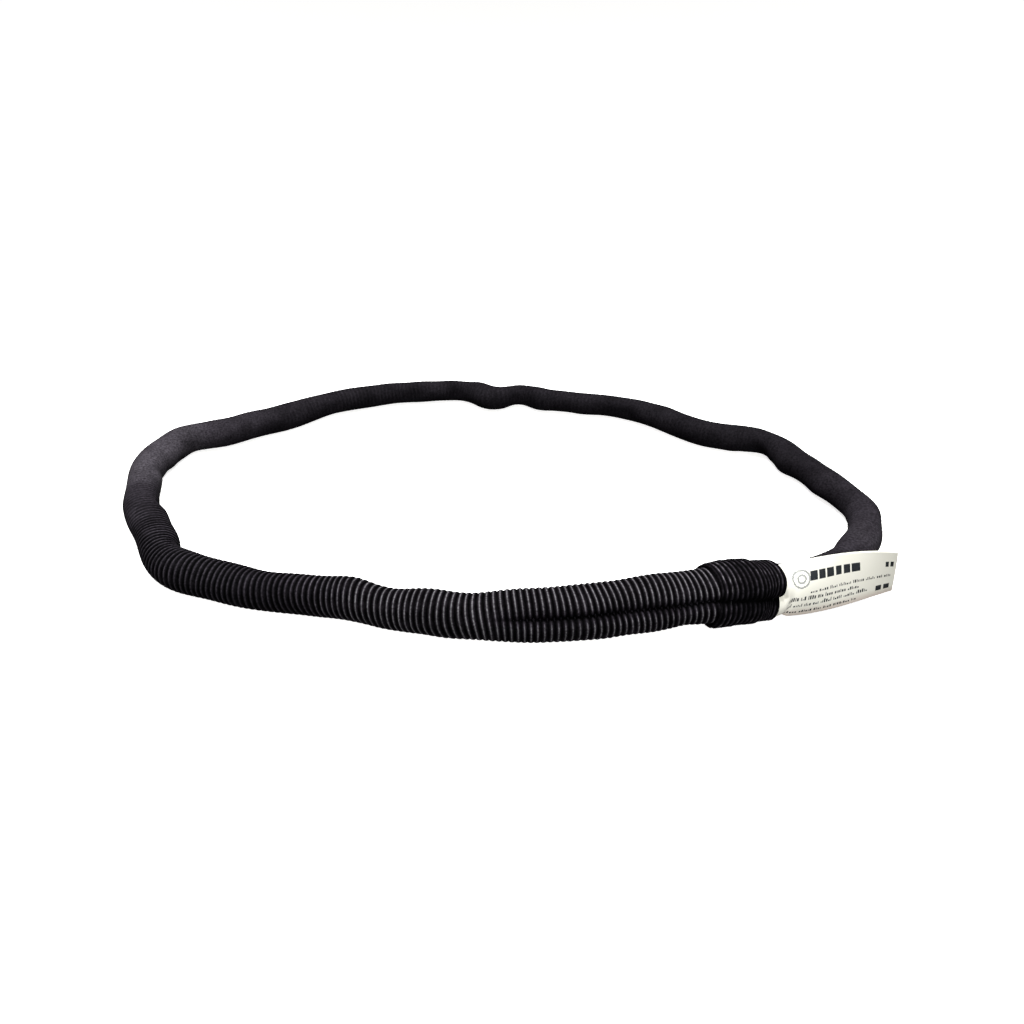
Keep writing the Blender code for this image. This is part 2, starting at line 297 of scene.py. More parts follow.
# The slow unevenness of the hank under the jacket: many low waves.
LUMPS = 14
LUMP_WAVES = (6, 40)  # round the loop
LUMP_LOBES = (0, 4)  # round the section
LUMP_HEIGHT_MM = (0.06, 0.16)

SLEEVE_HALF = 18.5 * MM
SLEEVE_LIFT = 1.9 * MM  # of the tube inside the sleeve, by the sleeve's wall and gap
SLEEVE_RAMP = 22 * MM
# The sleeve's outer surface stands this far out of the tube's, from its right mouth to its left one. The
# doubled cloth over its left part is thicker.
SLEEVE_PROFILE = [
    (-0.0185, 1.9 * MM),
    (-0.0080, 1.8 * MM),
    (-0.0055, 2.0 * MM),
    (-0.0030, 3.2 * MM),
    (0.0080, 3.1 * MM),
    (0.0125, 2.7 * MM),
    (0.0185, 1.8 * MM),
]
SLEEVE_LINING_LEFT = 0.3 * MM
SLEEVE_LINING_RIGHT = 1.15 * MM  # the label's end lies under the right mouth
SLEEVE_LINING_INSET = 2 * MM  # from a mouth to the lining's first ring
SLEEVE_LINING_RINGS = 14
SLEEVE_RIM = 1.2 * MM  # from a mouth to the first rib
SLEEVE_RIM_TURNS = (-80, -50, -20, 10, 40, 70)  # degrees, of the rings round a rolled mouth
SLEEVE_BELLY = 0.6 * MM  # how much lower it hangs
SLEEVE_BELLY_ANGLE = -50
SLEEVE_BELLY_WIDTH = 45  # degrees
SLEEVE_RIBS = 14
SLEEVE_RIB_DEPTH = 0.6 * MM
SLEEVE_PUCKER = 0.12 * MM
SLEEVE_SHADE = 0.15
# The strength of the painted highlight on a sleeve rib's crest:
SLEEVE_CREST_HIGHLIGHT = (0.38, 0.78)  # from one rib to another
SLEEVE_RADIUS = 15 * MM
SLEEVE_ASKEW = 3.0 * MM  # how far its top sits to the right, and its underside to the left
# How far the right mouth is pulled in, how much more below the crease, and how much less on top.
SLEEVE_PULL = 3.6 * MM
SLEEVE_PULL_LOW = 1.4 * MM
SLEEVE_PULL_TOP = 1.3 * MM
SLEEVE_PULL_FROM = 4 * MM  # right of the sleeve's middle, the pull begins
SLEEVE_PULL_OVER = 12 * MM
HEM = 5 * MM  # from a mouth to its row of stitches
HEM_ARC = (-60, 240)  # the section angles between which the stitches show
HEM_SINK = 0.25  # of a rib's depth, from its crest down to the stitches
STITCH_LENGTH = 2.4 * MM
STITCH_GAP = 0.9 * MM
STITCH_RADIUS = 0.3 * MM
STITCH_SIDES = 6
STITCH_PROFILE = ((0.08, 0.6), (0.3, 0.95), (0.7, 0.95), (0.92, 0.6))  # shares of its length and radius

# The label's long edges from the sleeve's right mouth to its tip, and how far its middle bulges there.
LABEL_FOOT = np.array([
    (0.1527, -0.1311, 0.0020),
    (0.1668, -0.1284, 0.0010),
    (0.1895, -0.1223, 0.0009),
    (0.2089, -0.1145, 0.0009),
    (0.2220, -0.1096, 0.0009),
])
LABEL_TOP = np.array([
    (0.1554, -0.1170, 0.0250),
    (0.1646, -0.1177, 0.0275),
    (0.1770, -0.1152, 0.0283),
    (0.1895, -0.1132, 0.0286),
    (0.2139, -0.1130, 0.0290),
])
LABEL_BULGES = [
    (0.000, 4.2 * MM),
    (0.006, 4.2 * MM),
    (0.012, 3.6 * MM),
    (0.020, 2.4 * MM),
    (0.032, 1.1 * MM),
    (0.066, 0.2 * MM),
]
LABEL_LENGTH = 66 * MM
LABEL_INSIDE = 11 * MM  # of the label's end, under the sleeve
LABEL_WIDTH = 30 * MM
LABEL_THICK = 0.35 * MM
LABEL_HALF_GAP = 0.4 * MM  # between its two layers outside the sleeve
LABEL_HELD_OUT = 0.62 * MM  # from the tube to the label's middle under the sleeve
LABEL_HELD_HALF_GAP = 0.22 * MM
LABEL_HELD_CREASE = 1.3  # it is pressed deeper into the crease than the jacket is,
LABEL_CREASE_OUT = 3 * MM  # and comes out of it over this length at the mouth
LABEL_ARC = (-54, 96)  # section angles of its long edges under the sleeve
LABEL_CELL = 0.45 * MM  # of the grid that its print is made on
LABEL_INSIDE_STEP = 0.5 * MM
LABEL_FAR_ROWS = 24
LABEL_FAR_INSIDE = (-2.5 * MM, -LABEL_INSIDE)
LABEL_FREE = 12 * MM  # from the mouth, it leaves the tube over this length at its top
LABEL_FREE_AT_FOOT = 0.4  # of that length

# The label's print: plain blocks in millimetres, as left, right, low and high, from its mouth and its foot.
PRINT_BLOCKS = [
    (13.5, 18.0, 19.4, 24.2),
    (19.0, 23.0, 19.4, 24.2),
    (24.0, 28.5, 19.4, 24.2),
    (29.5, 33.5, 19.4, 24.2),
    (34.5, 38.5, 19.4, 24.2),
    (39.5, 45.0, 19.4, 24.2),
    (60.5, 62.0, 20.0, 23.4),
    (62.9, 64.7, 20.0, 23.4),
    (55.0, 58.5, 3.5, 7.2),
    (60.0, 63.5, 3.5, 7.2),
]
# Rows of meaningless marks: left, right and base in millimetres, and the tallest mark in cells.
PRINT_ROWS = [(14.0, 64.0, 12.8, 4), (1.5, 38.0, 9.0, 5), (1.5, 50.0, 5.2, 5), (1.0, 42.0, 2.0, 3)]
PRINT_MARKS = (3, 9)  # in a group
RING_CENTRE = (8.6 * MM, 20.8 * MM)
RINGS = [(4.0 * MM, 4.9 * MM), (1.6 * MM, 2.5 * MM)]
NO_INK, DARK_INK, PALE_INK = range(3)

TACK_FROM_MOUTH = 4 * MM  # the stitches that hold the label, inside the sleeve
TACK_MARGIN = 8  # degrees from the label's edges
TACKS = 8
TACK_SHARE = 0.7  # of the way to the next one
TACK_OUT = 0.95 * MM
TACK_RADIUS = 0.2 * MM

BUNDLES_ROUND_MIDDLE = 6
YARN_DIAMETER = 4.9 * MM
YARN_PITCH = 5.35 * MM
YARN_TURNS = 3  # of the outer bundles round the middle one, over the whole loop
YARN_RINGS = 400
YARN_SIDES = 14
YARN_LUMPS = 0.04  # of its radius
CORE_GAP = 1.0 * MM  # from the yarn to the jacket's lining

BAND_SCALE = 0.314  # a wave texture's scale for one band a metre
# The jacket cloth's ramp: the plain colour is the cloth's own. The valley colour is painted shade between
# the ribs, the crest colour is a painted highlight on rib crests, and the purple-grey one is a softer
# painted highlight on crests and on the lit smooth cloth.
CLOTH_CREST_HIGHLIGHT = (0.088, 0.089, 0.089)
CLOTH_SOFT_HIGHLIGHT = (0.0465, 0.0425, 0.049)
CLOTH_PLAIN = (0.0155, 0.0136, 0.0168)
CLOTH_VALLEY_SHADE = (0.0005, 0.0005, 0.0006)
LABEL_CREAM = (0.71, 0.70, 0.62)
# A painted brownish shadow along the label's lower edge, and the height over which it fades to cream.
LABEL_EDGE_SHADOW = (0.50, 0.43, 0.37)
LABEL_SHADOW_HEIGHT = 5 * MM
THREAD_BLACK = (0.006, 0.006, 0.0065)
DARK_INK_COLOUR = (0.02, 0.022, 0.024)
PALE_INK_COLOUR = (0.24, 0.25, 0.24)
YARN_COLOUR = (0.78, 0.76, 0.70)
TAPE_COLOUR = (0.85, 0.85, 0.82)

CAMERA_PLACE = (0.018, -0.367, 0.2222)
CAMERA_TILT = 56.4  # degrees up from straight down
CAMERA_LENS = 22
CAMERA_SENSOR = 36
FLOOR_RADIUS = 1.6
FLOOR_CURVE = 0.5  # radius of the turn from the floor to the backdrop
BACKDROP_TOP = 3.0
FLOOR_SIDES = 64
FLOOR_DROP = 0.05 * MM


def smooth_loop(points):
    """x, y, width, height and distance at close steps on the smooth closed curve through the points."""
    closed = np.vstack([points, points[:1]])
    step = np.linalg.norm(np.diff(closed[:, :2], axis=0), axis=1)
    slope = np.diff(closed, axis=0) / step[:, None]
    count = len(points)
    system = np.zeros((count, count))
    for i in range(count):
        system[i, i - 1] += step[i - 1]
        system[i, i] += 2 * (step[i - 1] + step[i])
        system[i, (i + 1) % count] += step[i]
    bend = np.linalg.solve(system, 6 * (slope - np.roll(slope, 1, axis=0)))
    bend = np.vstack([bend, bend[:1]])
    knots = np.concatenate([[0], np.cumsum(step)])
    where = np.linspace(0, knots[-1], SAMPLES + 1)
    span = np.clip(np.searchsorted(knots, where, side="right") - 1, 0, count - 1)
    after = ((where - knots[span]) / step[span])[:, None]
    before = 1 - after
    curved = (before**3 - before) * bend[span] + (after**3 - after) * bend[span + 1]
    line = before * closed[span] + after * closed[span + 1] + curved * step[span][:, None] ** 2 / 6
    along = np.concatenate([[0], np.cumsum(np.linalg.norm(np.diff(line[:, :2], axis=0), axis=1))])
    return np.column_stack([line, along])


LOOP = smooth_loop(ROUTE)
LOOP_LENGTH = LOOP[-1, 4]


def smooth_step(share):
    share = np.clip(share, 0, 1)
    return share * share * (3 - 2 * share)


def from_seam(distance):
    """The distance along the loop from the sleeve's middle, negative on its right."""
    return (distance + LOOP_LENGTH / 2) % LOOP_LENGTH - LOOP_LENGTH / 2


def turn_between(angle, centre):
    """The signed angle in degrees from centre, given in degrees, to angle, in radians."""
    return (np.degrees(angle) - centre + 180) % 360 - 180


class Tube:
    """The tube's sections at an array of distances along the loop."""

    def __init__(self, distance):
        distance = np.asarray(distance, float)
        x, y, width, height = self.look_up(distance)
        ahead = self.look_up(distance + HEADING_WINDOW / 2)
        behind = self.look_up(distance - HEADING_WINDOW / 2)
        run_x = ahead[0] - behind[0]
        run_y = ahead[1] - behind[1]
        length = np.hypot(run_x, run_y)
        self.side_x = -run_y / length
        self.side_y = run_x / length
        self.half_width = width / 2
        self.half_height = height / 2
        clear = (np.abs(from_seam(distance)) - SLEEVE_HALF) / SLEEVE_RAMP
        lift = SLEEVE_LIFT * (1 - smooth_step(clear))
        self.middle = (x, y, lift + self.half_height * math.cos(math.pi / SECTION_SIDES))

    @staticmethod
    def look_up(distance):
        wrapped = distance % LOOP_LENGTH
        return [np.interp(wrapped, LOOP[:, 4], LOOP[:, i]) for i in range(4)]

    def points(self, angle, out):
        """Places on the sections at these angles in radians, moved out of the tube's surface by out."""
        normal_across = np.cos(angle) / self.half_width
        normal_up = np.sin(angle) / self.half_height
        size = np.hypot(normal_across, normal_up)
        across = self.half_width * np.cos(angle) + out * normal_across / size
        up = self.half_height * np.sin(angle) + out * normal_up / size
        x = self.middle[0] + self.side_x * across
        y = self.middle[1] + self.side_y * across
        z = self.middle[2] + up
        z = (z + np.sqrt(z * z + FLOOR_SOFTNESS**2)) / 2
        return np.stack([x, y, z], axis=-1)


def crease(distance, angle):
    """How far the surface moves out at the long crease between the near side's two lobes."""
    seam = from_seam(distance)
    strength = 1 - smooth_step((seam - CREASE_FADES[0]) / (CREASE_FADES[1] - CREASE_FADES[0]))
    strength *= 1 - smooth_step((-seam - SLEEVE_HALF) / CREASE_FADES_RIGHT)
    off = np.abs(turn_between(angle, np.interp(seam, *zip(*CREASE_ANGLES))))
    cusp = np.exp(-np.sqrt(off**2 + 1.0) / CREASE_WIDTH)
    lobes = np.exp(-(((off - CREASE_LOBE_TURN) / CREASE_LOBE_WIDTH) ** 2))
    return strength * (CREASE_LOBE * lobes - CREASE_DEPTH * cusp)


def crease_shadow(distance, angle):
    """1 on the open cloth, down to 0 deep in the crease."""
    return np.clip(1 + crease(distance, angle) / (CREASE_DARK_AT * CREASE_DEPTH), 0, 1)


def folds(distance, angle):
    out = np.zeros(np.broadcast(distance, angle).shape)
    for centre, middle_angle, reach, reach_round, height in FOLDS:
        along = from_seam(distance - centre) / reach
        around = turn_between(angle, middle_angle) / reach_round
        out += height * MM * np.exp(-along * along - around * around)
    return out


def lumps(distance, angle):
    random = np.random.RandomState(11)
    out = np.zeros(np.broadcast(distance, angle).shape)
    for _ in range(LUMPS):
        waves = random.randint(*LUMP_WAVES)
        lobes = random.randint(*LUMP_LOBES)
        phase = random.uniform(0, math.tau)
        height = random.uniform(*LUMP_HEIGHT_MM) * MM
        out += height * np.sin(math.tau * waves * distance / LOOP_LENGTH + lobes * angle + phase)
    return out


def soft_shape(distance, angle, crease_share=1.0):
    """How far the jacket's cloth stands out of the design's tube."""
    creased = crease_share * crease(distance, angle)
    fullness = np.interp(distance % LOOP_LENGTH, *zip(*FULLNESS))
    return creased + fullness + folds(distance, angle) + lumps(distance, angle)


def section_angles():
    """The angles of the tube's corners, closer together at the crease."""
    low = CREASE_ANGLE - CLOSE_REACH
    high = CREASE_ANGLE + CLOSE_REACH
    close = np.linspace(low, high, SIDES_CLOSE, endpoint=False)
    rest = np.linspace(high, low + 360, SIDES_ELSEWHERE, endpoint=False)
    return np.radians(np.concatenate([close, rest]))


def rib_rings(start, end, random):
    """Distances of the rings over the ribs from start to end, each ring's place in its rib, and its rib."""
    edges = [start]
    while edges[-1] < end:
        near = abs(from_seam(edges[-1]))
        pitch = np.interp(near, (0, RIB_TIGHT_WITHIN), (RIB_PITCH_AT_SLEEVE, RIB_PITCH))
        edges.append(edges[-1] + pitch * random.uniform(*RIB_PITCH_SHARE))
    edges = start + (np.array(edges) - start) * (end - start) / (edges[-1] - start)
    distances, phases, ribs = [], [], []
    for rib, (first, last) in enumerate(zip(edges, edges[1:])):
        fine = first < FINE_TO or first > FINE_FROM
        for phase in RIB_PHASES_FINE if fine else RIB_PHASES_COARSE:
            distances.append(first + (last - first) * phase)
            phases.append(phase)
            ribs.append(rib)
    distances.append(end)
    phases.append(0)
    ribs.append(ribs[-1])
    return np.array(distances), np.array(phases), np.array(ribs)


def rib_height(phase):
    """A rib's round profile, from 0 in the valley to 1 on the crest."""
    return np.sin(math.pi * phase)


def rib_lean(distance, angle):
    """How far along the loop a rib's ring runs on ahead at an angle: ribs aren't quite square."""
    slow = np.sin(math.tau * RIB_SWAY_WAVES * distance / LOOP_LENGTH + 1.0)
    steady = np.interp(distance % LOOP_LENGTH, *zip(*RIB_LEAN))
    return (RIB_SWAY * slow + steady) * np.sin(angle) + RIB_TWIST * np.sin(2 * angle + 3 * slow)


def rib_wear(distance, angle):
    """A share near 1 by which the ribs are deeper or shallower from place to place."""
    a, b, c = (np.sin(distance * along + around * angle + phase) for along, around, phase in WEAR_WAVES)
    return 1 + 0.10 * a * b + 0.06 * c


def underside_share(angle):
    """The ribs are shallower where the tube lies on the floor."""
    return 0.55 + 0.45 * smooth_step((np.sin(angle) + 0.9) / 0.8)


def add_object(name, data):
    made = bpy.data.objects.new(name, data)
    bpy.context.scene.collection.objects.link(made)
    return made


def mesh_object(name, points, faces, uv, shades=None):
    """A smooth mesh; shades says at each point how pale the cloth is, painted highlight and shade included.
    """
    mesh = bpy.data.meshes.new(name)
    mesh.from_pydata(points.reshape(-1, 3).tolist(), [], faces.tolist())
    mesh.uv_layers.new(name="UVMap").data.foreach_set("uv", uv.astype(np.float32).ravel())
    if shades is not None:
        # The rib attribute carries the cloth's painted highlights and shade.
        attribute = mesh.attributes.new("rib", "FLOAT", "POINT")
        attribute.data.foreach_set("value", shades.astype(np.float32).ravel())
    mesh.shade_smooth()
    return add_object(name, mesh)


def grid_faces(shape, cyclic, u, v):
    """The quads over rows of points, closed both ways or open, and their corners on a UV map in metres."""
    rows, columns = shape
    row = np.arange(rows if cyclic else rows - 1)
    column = np.arange(columns if cyclic else columns - 1)
    a, b = np.meshgrid(row, column, indexing="ij")
    corners = [(a, b), (a, b + 1), (a + 1, b + 1), (a + 1, b)]
    faces = np.stack([((i % rows) * columns + j % columns).ravel() for i, j in corners], axis=1)
    u = np.append(u, 2 * u[-1] - u[-2])
    v = np.append(v, 2 * v[-1] - v[-2])
    uv = np.stack([np.stack([u[i], v[j]], axis=-1).reshape(-1, 2) for i, j in corners], axis=1)
    return faces, uv


def ring_object(name, points, u, v, shades):
    """A closed surface over closed rings of points, whose last ring joins the first."""
    faces, uv = grid_faces(points.shape[:2], True, u, v)
    return mesh_object(name, points, faces, uv, shades)


def jacket_shades(rings, depth, height):
    """How pale the jacket is: a painted highlight on a rib's crest and painted shade in its valley, where
    the ribs are deep; elsewhere the smooth cloth's shade along the loop.
    """
    ribbed = np.clip((depth - RIB_SHADE_FROM) / RIB_SHADE_OVER, 0, 1)
    smooth = np.interp(rings, *zip(*SMOOTH_SHADE))[:, None]
    crest_highlight = np.interp(rings, *zip(*CREST_HIGHLIGHT))[:, None]
    return smooth + ribbed * (crest_highlight * height**RIB_SHADE - smooth)


def jacket(finish):
    """The jacket's outer surface with its ribs, and its smooth lining, as one closed shell."""
    random = np.random.RandomState(5)
    rings, phases, ribs = rib_rings(SEAM_GAP, LOOP_LENGTH - SEAM_GAP, random)
    share = random.uniform(*RIB_DEPTH_SHARE, ribs.max() + 1)[ribs]
    angles = section_angles()
    distance = rings[:, None] + rib_lean(rings[:, None], angles[None, :])
    angle = np.broadcast_to(angles, distance.shape)
    depth = np.interp(rings, *zip(*RIB_DEPTH))[:, None] * share[:, None]
    depth = depth * underside_share(angle) * rib_wear(distance, angle)
    height = rib_height(phases)[:, None]
    outer = Tube(distance).points(angle, soft_shape(distance, angle) - depth * (1 - height))
    # Painted highlights and shade of the ribs, with painted shadow in the crease.
    shades = jacket_shades(rings, depth, height) * crease_shadow(distance, angle)

    back = np.linspace(LOOP_LENGTH - SEAM_GAP, SEAM_GAP, LINING_RINGS)
    angle = np.broadcast_to(angles, (LINING_RINGS, len(angles)))
    distance = np.broadcast_to(back[:, None], angle.shape)
    inner = Tube(distance).points(angle, soft_shape(distance, angle, LINING_CREASE_SHARE) - JACKET_WALL)
    points = np.concatenate([outer, inner])
    shades = np.concatenate([shades, np.full(angle.shape, LINING_SHADE)])
    v = angles * TUBE_RADIUS
    made = ring_object("jacket", points, np.concatenate([rings, back]), v, shades)
    made.data.materials.append(finish)
    return made


def sleeve_out(distance):
    """How far the sleeve's outer surface and its lining stand out of the tube."""
    seam = from_seam(distance)
    outer = np.interp(seam, *zip(*SLEEVE_PROFILE))
    lining = np.interp(seam, (-SLEEVE_HALF, SLEEVE_HALF), (SLEEVE_LINING_RIGHT, SLEEVE_LINING_LEFT))
    return outer, lining


def sleeve_slant(distance, angle):
    """How far a ring of the sleeve runs to the left at an angle: it sits askew, and its right mouth is
    pulled in, most of all below the crease."""
    right = smooth_step((-distance - SLEEVE_PULL_FROM) / SLEEVE_PULL_OVER)
    above = turn_between(angle, CREASE_ANGLE)
    # In degrees: low is 1 from the crease down to the underside, and top is 1 from above it to the far side.
    low = smooth_step((8 - above) / 30) * smooth_step(turn_between(angle, -110) / 30)
    top = smooth_step((above - 5) / 35) * smooth_step((170 - above) / 40)
    pulled = SLEEVE_PULL + SLEEVE_PULL_LOW * low - SLEEVE_PULL_TOP * top
    return right * pulled - SLEEVE_ASKEW * np.sin(angle + 0.2)


def sleeve_rim(mouth, turns):
    """Rings round a mouth's rolled edge: distances, and how far out, as the section turns over."""
    outer, lining = sleeve_out(mouth)
    radius = (outer - lining) / 2
    inward = -math.copysign(1, mouth)
    distances = [mouth + inward * radius * (1 - math.cos(a)) for a in turns]
    return distances, [lining + radius * (1 + math.sin(a)) for a in turns]


def sleeve_unevenness_and_shade(distance, angle):
    """A share by which the sleeve's crests are unevenly pale, with painted shade near the crease and painted
    shadow in it.
    """
    broken = 1 + 0.4 * np.sin(17 * angle + 1900 * distance) * np.sin(5 * angle - 700 * distance)
    # Painted shade on the cloth beside the crease.
    shade_near_crease = 0.65 + 0.35 * smooth_step(np.abs(turn_between(angle, CREASE_ANGLE)) / 50)
    uneven = 3 * rib_wear(2 * distance, 3 * angle) - 2
    return broken * shade_near_crease * uneven * crease_shadow(distance, angle)


def joint_sleeve(finish):
    """The sleeve's ribbed outside, its two rolled mouths and its lining, as one closed shell."""
    random = np.random.RandomState(8)
    angles = section_angles()
    rib = np.repeat(np.arange(SLEEVE_RIBS), len(RIB_PHASES_FINE))
    phase = np.tile(RIB_PHASES_FINE, SLEEVE_RIBS)
    ribbed_half = SLEEVE_HALF - SLEEVE_RIM
    along = ribbed_half - (rib + phase) / SLEEVE_RIBS * 2 * ribbed_half
    turns = np.radians(SLEEVE_RIM_TURNS)
    left, left_out = sleeve_rim(SLEEVE_HALF, turns)
    right, right_out = sleeve_rim(-SLEEVE_HALF, turns[::-1])
    lining_half = SLEEVE_HALF - SLEEVE_LINING_INSET
    back = np.linspace(-lining_half, lining_half, SLEEVE_LINING_RINGS)
    rings = np.concatenate([left, along, right, back])
    base = np.concatenate([left_out, sleeve_out(along)[0], right_out, sleeve_out(back)[1]])[:, None]

    def over_ribs(values):
        """The ribs' values, and 0 for the rings of the mouths and the lining."""
        return np.pad(values, (len(left), len(right) + len(back)))[:, None]

    ribbed = over_ribs(np.ones(len(along)))
    height = over_ribs(rib_height(phase))
    # How strong each rib's painted crest highlight is.
    paler = over_ribs(random.uniform(*SLEEVE_CREST_HIGHLIGHT, SLEEVE_RIBS)[rib])
    distance = rings[:, None]
    angle = np.broadcast_to(angles, (len(rings), len(angles)))
    depth = SLEEVE_RIB_DEPTH * ribbed * rib_wear(distance, angle)
    pucker = SLEEVE_PUCKER * ribbed * np.sin(900 * distance + 5 * angle) * np.sin(3 * angle + 1)
    slanted = distance + 0.5 * rib_lean(distance, angle) * ribbed + sleeve_slant(distance, angle)
    belly = SLEEVE_BELLY * np.exp(-((turn_between(angle, SLEEVE_BELLY_ANGLE) / SLEEVE_BELLY_WIDTH) ** 2))
    out = base + belly + soft_shape(slanted, angle) - depth * (1 - height) + pucker
    # Painted highlight on each rib's crest, stronger on some ribs than others, and painted shade in the
    # valleys.
    shades = SLEEVE_SHADE + ribbed * (paler * height**RIB_SHADE - SLEEVE_SHADE)
    shades = shades * sleeve_unevenness_and_shade(distance, angle)
    points = Tube(slanted).points(angle, out)
    made = ring_object("joint_sleeve_cloth", points, rings, angles * TUBE_RADIUS, shades)
    made.data.materials.append(finish)
    return made


def spindle(start, end, radius):
    """Points and faces of one stitch: a closed spindle between two points."""
    sides = STITCH_SIDES
    start = Vector(start)
    axis = Vector(end) - start
    across = axis.orthogonal().normalized()
    other = axis.normalized().cross(across)
    points = [start]
    for share, swell in STITCH_PROFILE:
        for k in range(sides):
            turn = math.tau * k / sides
            rim = across * math.cos(turn) + other * math.sin(turn)
            points.append(start + axis * share + rim * radius * swell)
    points.append(Vector(end))
    faces = [(0, 1 + (k + 1) % sides, 1 + k) for k in range(sides)]
    for ring in range(len(STITCH_PROFILE) - 1):
        base = 1 + ring * sides
        for k in range(sides):
            after = (k + 1) % sides
            faces.append((base + k, base + after, base + sides + after, base + sides + k))
    last = len(points) - 1
    faces += [(last, last - sides + k, last - sides + (k + 1) % sides) for k in range(sides)]
    return points, faces


def stitches(name, pairs, radius, finish):
    """One object of separate stitches, each between a pair of points."""
    points, faces = [], []
    for start, end in pairs:
        more, sides = spindle(start, end, radius)
        faces += [[i + len(points) for i in face] for face in sides]
        points += more
    mesh = bpy.data.meshes.new(name)
    mesh.from_pydata([tuple(p) for p in points], [], faces)
    mesh.shade_smooth()
    mesh.materials.append(finish)
    return add_object(name, mesh)


def hem_stitches(name, distance, finish):
    """A row of stitches round the sleeve, half sunk in its cloth."""
    outer, _ = sleeve_out(distance)
    first, last = np.radians(HEM_ARC)
    pairs = []
    for start in np.arange(first, last, (STITCH_LENGTH + STITCH_GAP) / SLEEVE_RADIUS):
        ends = np.array((start, start + STITCH_LENGTH / SLEEVE_RADIUS))
        slanted = distance + sleeve_slant(distance, ends)
        out = outer - SLEEVE_RIB_DEPTH * HEM_SINK + soft_shape(slanted, ends)
        pairs.append(Tube(slanted).points(ends, out))
    return stitches(name, pairs, STITCH_RADIUS, finish)


def label_tacks(finish):
    """The stitches through the label's end and the jacket, just inside the sleeve's right mouth."""
    corners = np.radians(np.linspace(LABEL_ARC[0] + TACK_MARGIN, LABEL_ARC[1] - TACK_MARGIN, TACKS + 1))
    pairs = []
    for low, high in zip(corners, corners[1:]):
        ends = np.array((low, low + (high - low) * TACK_SHARE))
        where = -SLEEVE_HALF + TACK_FROM_MOUTH + sleeve_slant(-SLEEVE_HALF, ends)
        pairs.append(Tube(where).points(ends, TACK_OUT + soft_shape(where, ends)))
    return stitches("label_tack_stitches", pairs, TACK_RADIUS, finish)


def core_squeeze(tube, distance, across, up):
    """The share by which yarn at these places in the section moves in, to stay inside the cloth."""
    half_width = tube.half_width[:, None]
    half_height = tube.half_height[:, None]
    angle = np.arctan2(up / half_height, across / half_width)
    wall = np.hypot(half_width * np.cos(angle), half_height * np.sin(angle))
    room = wall + np.minimum(soft_shape(distance, angle), 0) - JACKET_WALL - CORE_GAP
    return np.minimum(1, room / np.maximum(np.hypot(across, up), MM))


def core_hank(finish):
    """The bundles of load yarn, six laid round a middle one and all endless."""
    along = np.linspace(0, LOOP_LENGTH, YARN_RINGS, endpoint=False)
    tube = Tube(along)
    turns = np.linspace(0, math.tau, YARN_SIDES, endpoint=False)
    reaches = [YARN_PITCH] * BUNDLES_ROUND_MIDDLE + [0]
    all_points, all_faces, all_uv = [], [], []
    for bundle, reach in enumerate(reaches):
        lay = math.tau * (YARN_TURNS * along / LOOP_LENGTH + bundle / BUNDLES_ROUND_MIDDLE)
        radius = YARN_DIAMETER / 2 * (1 + YARN_LUMPS * np.sin(4 * turns + 400 * along[:, None]))
        across = (reach * np.cos(lay))[:, None] + radius * np.cos(turns)
        up = (reach * np.sin(lay))[:, None] + radius * np.sin(turns)
        squeeze = core_squeeze(tube, along[:, None], across, up)
        x = tube.middle[0][:, None] + tube.side_x[:, None] * across * squeeze
        y = tube.middle[1][:, None] + tube.side_y[:, None] * across * squeeze
        z = tube.middle[2][:, None] + up * squeeze
        faces, uv = grid_faces(x.shape, True, along, turns * YARN_DIAMETER / 2)
        all_faces.append(faces + bundle * x.size)
        all_points.append(np.stack([x, y, z], axis=-1).reshape(-1, 3))
        all_uv.append(uv)
    points = np.concatenate(all_points)
    made = mesh_object("core_hank", points, np.concatenate(all_faces), np.concatenate(all_uv))
    made.data.materials.append(finish)
    return made


def smooth_edge(points, share):
    """The cubic that fits an edge's points best, read at shares of its length, and a little beyond them."""
    run = np.concatenate([[0], np.cumsum(np.linalg.norm(np.diff(points, axis=0), axis=1))])
    run /= run[-1]
    return np.stack([np.polyval(np.polyfit(run, points[:, i], 3), share) for i in range(3)], axis=-1)


def label_rows(run, layer):
    """Points of the label across its width, at runs from the mouth; layer is -1 near side, +1 far side."""
    height = np.linspace(0, 1, round(LABEL_WIDTH / LABEL_CELL) + 1)
    share = run / LABEL_LENGTH
    foot = smooth_edge(LABEL_FOOT, share)[:, None]
    top = smooth_edge(LABEL_TOP, share)[:, None]
    ahead = smooth_edge(LABEL_FOOT, share + 0.01)[:, None] - foot
    out = np.cross(ahead, top - foot)
    out /= np.linalg.norm(out, axis=-1, keepdims=True)
    bulge = np.interp(run, *zip(*LABEL_BULGES))[:, None] * 4 * height * (1 - height)
    free_rows = foot + (top - foot) * height[None, :, None]
    free_rows = free_rows + out * (bulge[..., None] - layer * LABEL_HALF_GAP)

    angles = np.radians(LABEL_ARC[0] + (LABEL_ARC[1] - LABEL_ARC[0]) * height)
    distance, angle = np.meshgrid(-SLEEVE_HALF - run, angles, indexing="ij")
    out_of_crease = smooth_step((run + LABEL_CREASE_OUT / 2) / LABEL_CREASE_OUT)
    pressed = LABEL_HELD_CREASE * (1 - out_of_crease)[:, None]
    held_out = soft_shape(distance, angle, pressed) + LABEL_HELD_OUT - layer * LABEL_HELD_HALF_GAP
    held_rows = Tube(distance).points(angle, held_out)
    leaves_over = LABEL_FREE * (LABEL_FREE_AT_FOOT + (1 - LABEL_FREE_AT_FOOT) * height)
    free = smooth_step(run[:, None] / leaves_over)[..., None]
    return held_rows * (1 - free) + free_rows * free


